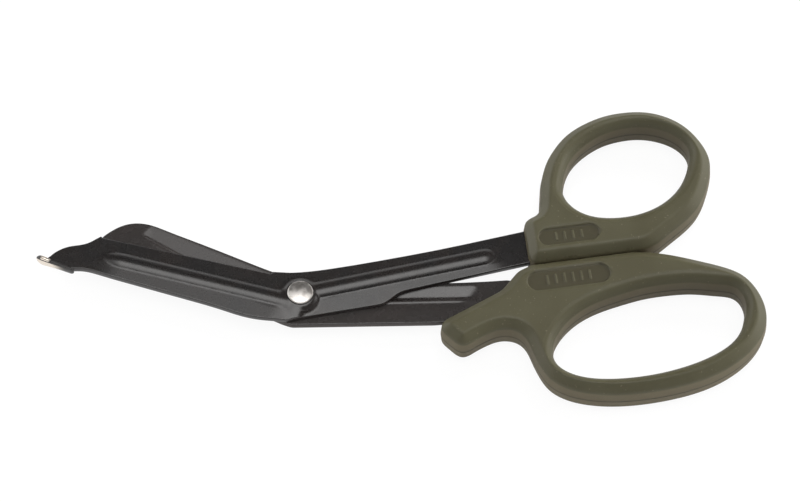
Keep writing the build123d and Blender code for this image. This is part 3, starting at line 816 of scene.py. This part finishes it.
class SCISSORS_OT_front_blade(bpy.types.Operator):
    """Front blade: the blunt-nosed jaw and the shank of the thumb handle"""

    bl_idname = "scissors.front_blade"
    bl_label = "Front blade"

    def execute(self, context):
        looks = context.scene.scissors_blades

        def base(points):
            """The sheet, raised and leaning down beside the jaw's rib and leaning down beside the shank's.
            The two strips meet in a crease, which is softer near the hinge."""
            fade = before_end(points, LOWER_JAW_RIB, JAW_STRIP_END)
            rise = strip_rise(points, LOWER_JAW_RIB, 1, looks) * fade
            jaw = drop(points, LOWER_JAW_RIB, 1, looks) * JAW_LEAN * fade
            shank = drop(points, LOWER_SHANK_RIB, -1, looks)
            shank = shank * before_end(points, LOWER_SHANK_RIB, SHANK_STRIP_END)
            width = 0.002 + 0.1 * (1 - ramp(np.linalg.norm(points, axis=1), 6.0, 14.0))
            sheet = SHEET + rise - soft_high(jaw, shank, width) + width / 4
            return soft_low(sheet, ground(points, LOWER_EDGE), 0.05)

        ribs = [LOWER_JAW_RIB, LOWER_SHANK_RIB]
        shell = blade_shell("lower_blade", ribs, base, round_hollow, ribs, 1, looks)
        placed("front_blade", *shell, "Black steel", "thumb_half", "black_steel", ["lower_blade"])
        return {"FINISHED"}


class SCISSORS_OT_rear_blade(bpy.types.Operator):
    """Rear blade: the humped jaw and the shank of the finger handle, its ribbed face down"""

    bl_idname = "scissors.rear_blade"
    bl_label = "Rear blade"

    def execute(self, context):
        looks = context.scene.scissors_blades

        def base(points):
            """The sheet, leaning down where both ribs have their strip on that side."""
            jaw, shank = drop(points, UPPER_JAW_RIB, -1, looks), drop(points, UPPER_SHANK_RIB, 1, looks)
            return soft_low(SHEET - np.minimum(jaw, shank), ground(points, UPPER_EDGE), 0.05)

        ribs, hollows = [UPPER_JAW_RIB, UPPER_SHANK_RIB], [JAW_HOLLOW, SHANK_HOLLOW]
        shell = blade_shell("upper_blade", ribs, base, wide_hollow, hollows, -1, looks)
        placed("rear_blade", *shell, "Black steel", "finger_half", "black_steel", ["upper_blade"])
        return {"FINISHED"}


class SCISSORS_OT_blunt_foot(bpy.types.Operator):
    """Blunt foot: a rounded tongue across the front blade's nose"""

    bl_idname = "scissors.blunt_foot"
    bl_label = "Blunt foot"

    def execute(self, context):
        """Oval rings along the foot. At x from its front, the oval has grown to sqrt(1 - (1 - x/R)^2) of its
        size; its back rises, and it ends in a quarter round of its own at the heel."""
        heel = FOOT_LENGTH - FOOT_HEEL
        along = np.concatenate([
            0.09 + FOOT_NOSE * (1 - np.cos(np.linspace(0.12, math.pi / 2, 14))),
            np.linspace(2.2, heel, 22),
            heel + 0.75 * np.sin(np.linspace(0.2, 1.45, 9)),
        ])
        grown = np.sqrt(1 - np.clip(1 - (along - 0.03) / FOOT_NOSE, 0, 1) ** 2)
        grown = grown * np.sqrt(1 - np.clip((along - heel) / FOOT_HEEL, 0, 1) ** 2)
        under = FOOT_BELOW * np.interp(along, FOOT_STATIONS, FOOT_DEPTHS)
        half = FOOT_HALF * np.interp(along, FOOT_STATIONS, FOOT_WIDTHS) * grown
        middle, reach = (FOOT_ABOVE - under) / 2, (FOOT_ABOVE + under) / 2 * grown
        way, size = course(*FOOT)
        sectors = 48
        turn = np.arange(sectors) * 2 * math.pi / sectors
        beside = np.sign(np.cos(turn)) * np.abs(np.cos(turn)) ** 0.8 * half[:, None]
        height = np.sign(np.sin(turn)) * np.abs(np.sin(turn)) ** 0.9 * reach[:, None] + middle[:, None]
        run = along / FOOT_LENGTH * size
        plan = FOOT[0] + run[:, None, None] * way + beside[..., None] * across(way)
        grid = np.concatenate([plan, height[..., None] + SLIDE], -1).reshape(-1, 3)
        ends = [grid[:sectors].mean(0), grid[-sectors:].mean(0)]
        side = (np.cos(turn) > -0.3) & (np.sin(turn) < 0.55)
        # bright bare steel on the foot's front and outer side, partly wear and partly a painted reflection,
        # and a painted highlight patch on its top rim
        worn = (1 - ramp(along, 4.0, 8.0))[:, None] * side
        highlight_patch = (ramp(along, 1.2, 1.6) - ramp(along, 3.2, 3.8))[:, None] * (np.sin(turn) > 0.75)
        marks = {"worn": np.append(np.maximum(worn, highlight_patch).ravel(), [0, 0])}
        shell = tube(grid, sectors, ends)
        placed("blunt_foot", *shell, marks, "Black steel", "thumb_half", "black_steel", [])
        return {"FINISHED"}


class SCISSORS_OT_rivet(bpy.types.Operator):
    """Hinge rivet: a domed head, its pin and the tail hammered over below"""

    bl_idname = "scissors.rivet"
    bl_label = "Rivet"

    def execute(self, context):
        """A turned profile. Each face is a shallow dome, whose height falls with the square of the radius."""
        outer = SLIDE + SHEET + SEAT_RISE
        share = np.linspace(0, 1, 12)[:, None]
        bulge = 1 - share**2
        head = np.hstack([HEAD_FACE * share, outer + HEAD_PLAY + HEAD_SIDE + HEAD_DOME * bulge])
        tail = np.hstack([TAIL_FACE * share, -outer - TAIL_SIDE - TAIL_DOME * bulge])[-2::-1]
        rims = [HEAD_RIM + (0, outer + HEAD_PLAY), TAIL_RIM - (0, outer)]
        profile = np.vstack([head, *rims, tail])[::-1]
        sectors = 72
        angle = np.arange(sectors) * 2 * math.pi / sectors
        rows = profile[1:-1]
        grid = np.stack([
            rows[:, :1] * np.cos(angle), rows[:, :1] * np.sin(angle), np.repeat(rows[:, 1:], sectors, axis=1)
        ], -1).reshape(-1, 3)
        shell = tube(grid, sectors, [(0, 0, profile[0, 1]), (0, 0, profile[-1, 1])])
        placed("hinge_rivet", *shell, {}, "Bright rivet", "finger_half", "bright_rivet", ["pivot_rivet"])
        return {"FINISHED"}


# ---------- handles ----------

def beside_stop(points):
    """Points in the frame of the line where the handles meet: along it and across it."""
    way = turned(STOP_LEAN)
    return (points - STOP_LINE) @ np.stack([way, -across(way)], 1)


def kept_aside(points, side):
    """Points moved off the other handle's side of the stop line."""
    way = turned(STOP_LEAN)
    deep = np.maximum(STOP_HALF_GAP - side * beside_stop(points)[:, 1], 0)
    return points + side * deep[:, None] * -across(way)


def field_reach(points, field):
    """Distance outside a round-ended sunken field, negative inside."""
    along, beside, span, width, _ = field
    middle = np.array([along, beside])
    half = np.array([(span - width) / 2, 0])
    return to_segment(beside_stop(points), middle - half, middle + half) - width / 2


def field_grid(field, spacing):
    """A staggered grid over a sunken field."""
    along, beside, span, width, _ = field
    x, y = staggered((-span / 2, -width / 2), (span / 2, width / 2), spacing).T[..., None]
    way = turned(STOP_LEAN)
    points = STOP_LINE + (x + along) * way - (y + beside) * across(way)
    return points[field_reach(points, field) < 0.3]


def bar_height(points, field):
    """Plain raised bars across a sunken field: 1 on a bar and 0 beside it."""
    along, beside, _, width, bars = field
    local = beside_stop(points) - (along, beside)
    nearest = np.clip(np.round(local[:, 0] / BAR_PITCH + (bars - 1) / 2), 0, bars - 1) - (bars - 1) / 2
    over = np.maximum(np.abs(local[:, 0] - nearest * BAR_PITCH) - BAR_HALF, np.abs(local[:, 1]) - width / 4)
    return 1 - ramp(over, -0.12, 0.06)


def handle_top(points, loops, looks):
    """Height of a handle's face: a slope that runs softly into the flat. With t the share of its width, it
    has climbed the share t from the outer wall and 1 - (1 - t)^p from a ring's wall."""
    outer = depth_in(points, loops[:1]) / SLOPE_WIDTH
    ring = np.clip(-depth_in(points, loops[1:]) / SLOPE_WIDTH, 0, 1)
    bent = np.where(ring < 1, 1 - (1 - ring) ** RING_BEND, 2)
    slope = WALL_HALF + np.minimum(outer, bent) * (HANDLE_HALF - WALL_HALF)
    return soft_low(slope, np.full(len(points), HANDLE_HALF), looks.ridge / MM)


def wall_profile(looks):
    """(outset, height) pairs from the parting line up to the slope: seam, leaning wall, rounded corner."""
    seam, corner = looks.seam / MM, looks.corner / MM
    rise = corner * (HANDLE_HALF - WALL_HALF) / SLOPE_WIDTH
    wall = [(DRAFT - seam, 0.0), (DRAFT - 0.3 * seam, 0.05), (DRAFT - 0.02, 0.12)]
    wall += [(DRAFT * (1 - h / WALL_HALF), h) for h in (0.5, 1.2, 1.9, 2.5)]
    start, middle, end = (DRAFT * 0.15, WALL_HALF - 0.5), (0.0, WALL_HALF), (-corner, WALL_HALF + rise)
    for t in (0, 0.2, 0.4, 0.6, 0.8):
        bend = [(1 - t) ** 2 * a + 2 * t * (1 - t) * b + t * t * c for a, b, c in zip(start, middle, end)]
        wall.append(tuple(bend))
    return wall


def handle_shell(node, side, field, looks):
    """A moulded handle: its loops at the top of the wall, the wall's rows set off from them, and the faces.
    Recesses and the parting line are marked for painted shade, and the walls for painted light."""
    loops = [evened(loop, 0.35, 5) for loop in section(node, WALL_HALF - 0.01)]
    corner = looks.corner / MM
    rims = [loop - outwards(loop) * corner for loop in loops]
    inner = np.vstack([rows_inside(loops, SLOPE_ROWS), scatter(loops, 0.5, 3.15)])
    inner = inner[field_reach(inner, field) > 0.35]
    close = field_grid(field, 0.16)
    close = close[depth_in(close, loops) > corner + 0.2]
    inner = np.vstack([inner, close])
    plan = np.vstack([*rims, inner])
    top = handle_top(plan, loops, looks)
    low = -top
    sunk = 1 - ramp(field_reach(plan, field), -0.22, 0.1)
    bars = bar_height(plan, field)
    top = top - sunk * (FIELD_DEPTH - BAR_RISE * bars)
    border, out = np.vstack(loops), np.vstack([outwards(loop) for loop in loops])
    profile = wall_profile(looks)
    profile = [(o, -h) for o, h in profile[:0:-1]] + profile
    levels = []
    # painted shade on the sunken fields, none on the bars
    dull, wall = [sunk * (1 - bars), 0 * low], [0 * low, 0 * low]
    for outset, height in profile:
        ring = kept_aside(border + out * outset, side)
        levels.append(np.column_stack([ring, np.full(len(ring), height)]))
        # painted shade along the parting line
        dull.append(np.full(len(ring), 1.0 - ramp(abs(height), 0.1, 0.3)))
        # painted light up the walls
        wall.append(np.full(len(ring), 1.0 - ramp(abs(height), WALL_HALF - 0.6, WALL_HALF)))
    marks = {"dull": np.concatenate(dull), "wall": np.concatenate(wall)}
    return *closed_shell(rims, inner, top, low, levels), marks


def mould(context, name, node, side, field, body):
    """Builds a handle and puts it on its body."""
    shell = handle_shell(node, side, field, context.scene.scissors_handles)
    placed(name, *shell, "Olive plastic", body, "olive_plastic", [node])
    return {"FINISHED"}


class SCISSORS_OT_thumb_handle(bpy.types.Operator):
    """Thumb handle: the upper moulding with the small ring"""

    bl_idname = "scissors.thumb_handle"
    bl_label = "Thumb handle"

    def execute(self, context):
        return mould(context, "thumb_ring_handle", "thumb_handle", 1, THUMB_FIELD, "thumb_half")


class SCISSORS_OT_finger_handle(bpy.types.Operator):
    """Finger handle: the lower moulding with the large ring and the finger rest"""

    bl_idname = "scissors.finger_handle"
    bl_label = "Finger handle"

    def execute(self, context):
        return mould(context, "finger_ring_handle", "finger_handle", -1, FINGER_FIELD, "finger_half")


# ---------- stage ----------

class SCISSORS_OT_finishes(bpy.types.Operator):
    """Finishes: coated steel, bright rivet and olive plastic"""

    bl_idname = "scissors.finishes"
    bl_label = "Finishes"

    def execute(self, context):
        painted("Black steel", black_steel)
        painted("Bright rivet", bright_rivet)
        painted("Olive plastic", olive_plastic)
        return {"FINISHED"}


def floor_finish(shader):
    """Pale floor: mostly white of its own to the camera and in reflections, so that it stays plain."""
    colour = bpy.context.scene.scissors_stage.floor
    path = "ShaderNodeLightPath"
    seen = shader.node(path, output="Is Camera Ray") + shader.node(path, output="Is Glossy Ray")
    seen = seen + shader.node(path, output="Is Transmission Ray")
    lit = shader.node("ShaderNodeBsdfDiffuse", inputs={"Color": rgba(colour)})
    white = shader.node("ShaderNodeEmission", inputs={"Color": (1, 1, 1, 1), "Strength": 1.03})
    share = seen.maths("MINIMUM", 1.0) * 0.9
    shader.finish(shader.node("ShaderNodeMixShader", inputs={0: share, 1: lit, 2: white}))


def sky_finish(shader):
    """Studio room: a soft bright panel overhead, a lit wall at either hand and a white horizon, brighter in
    front."""
    way = shader.node("ShaderNodeTexCoord", output="Generated")
    split = "ShaderNodeSeparateXYZ"
    right, ahead, height = [shader.node(split, inputs={0: way}, output=axis) for axis in "XYZ"]
    side = right.maths("ABSOLUTE")
    panel = ahead.between(-0.42, -0.30) * (1 - ahead.between(0.20, 0.32)) * (1 - side.between(0.28, 0.55))
    panel = panel * height.between(0.0, 0.1)
    horizon = 1 - height.between(0.10, 0.45)
    walls = side.between(0.50, 0.80) * (1 - height.between(0.30, 0.60)) * ahead.between(-0.5, 0.1)
    front = 1 - ahead.between(-0.8, -0.3)
    strength = 0.06 + 3.5 * panel + 0.92 * horizon * (1 + 1.1 * front) + 2.4 * walls
    surface = shader.node("ShaderNodeBackground", inputs={"Color": (1, 0.99, 0.98, 1), "Strength": strength})
    shader.finish(surface, "ShaderNodeOutputWorld")


class SCISSORS_OT_stage(bpy.types.Operator):
    """Stage: pale floor, soft overhead light and the camera"""

    bl_idname = "scissors.stage"
    bl_label = "Stage"

    def execute(self, context):
        scene, setup = context.scene, context.scene.scissors_stage
        half, floor_level = 6.0, -0.00002
        corners = [(-half, -half), (half, -half), (half, half), (-half, half)]
        mesh = bpy.data.meshes.new("studio_floor")
        mesh.from_pydata([(x, y, floor_level) for x, y in corners], [], [(0, 1, 2, 3)])
        mesh.materials.append(painted("Pale floor", floor_finish))
        floor = bpy.data.objects.new("studio_floor", mesh)
        scene.collection.objects.link(floor)
        scene.world = bpy.data.worlds.new("Studio")
        sky_finish(Shader(scene.world))
        for name, energy, lean, turn in LAMPS:
            lamp = bpy.data.objects.new(name, bpy.data.lights.new(name, "SUN"))
            lamp.data.energy = energy
            lamp.data.angle = math.radians(30)
            lamp.rotation_euler = (math.radians(lean), 0, math.radians(turn))
            lamp.visible_glossy = False
            scene.collection.objects.link(lamp)
        back = Vector((0, -math.cos(setup.elevation), math.sin(setup.elevation)))
        camera = bpy.data.objects.new("Camera", bpy.data.cameras.new("Camera"))
        camera.data.lens = setup.lens
        camera.data.sensor_width = 36
        camera.location = Vector(setup.aim) + back * setup.distance
        camera.rotation_euler = (-back).to_track_quat("-Z", "Y").to_euler()
        scene.collection.objects.link(camera)
        scene.camera = camera
        scene.view_settings.view_transform = "Standard"
        return {"FINISHED"}


class SCISSORS_PT_panel(bpy.types.Panel):
    """Lists the pieces of the scissors"""

    bl_label = "Bandage scissors"
    bl_idname = "SCISSORS_PT_panel"
    bl_space_type = "VIEW_3D"
    bl_region_type = "UI"
    bl_category = "Scissors"

    def draw(self, context):
        for operator in OPERATORS:
            self.layout.operator(operator.bl_idname)


SETTINGS = {
    "scissors_blades": BladeSettings,
    "scissors_handles": HandleSettings,
    "scissors_stage": StageSettings,
}
OPERATORS = [
    SCISSORS_OT_finishes, SCISSORS_OT_front_blade, SCISSORS_OT_rear_blade, SCISSORS_OT_blunt_foot,
    SCISSORS_OT_rivet, SCISSORS_OT_thumb_handle, SCISSORS_OT_finger_handle, SCISSORS_OT_stage,
]


def register():
    for cls in [*SETTINGS.values(), *OPERATORS, SCISSORS_PT_panel]:
        bpy.utils.register_class(cls)
    for name, cls in SETTINGS.items():
        setattr(bpy.types.Scene, name, bpy.props.PointerProperty(type=cls))


def unregister():
    for name in SETTINGS:
        delattr(bpy.types.Scene, name)
    for cls in reversed([*SETTINGS.values(), *OPERATORS, SCISSORS_PT_panel]):
        bpy.utils.unregister_class(cls)


def main():
    """Builds every piece and the stage."""
    register()
    for operator in OPERATORS:
        getattr(bpy.ops.scissors, operator.bl_idname.split(".")[1])()


if __name__ == "__main__":
    main()
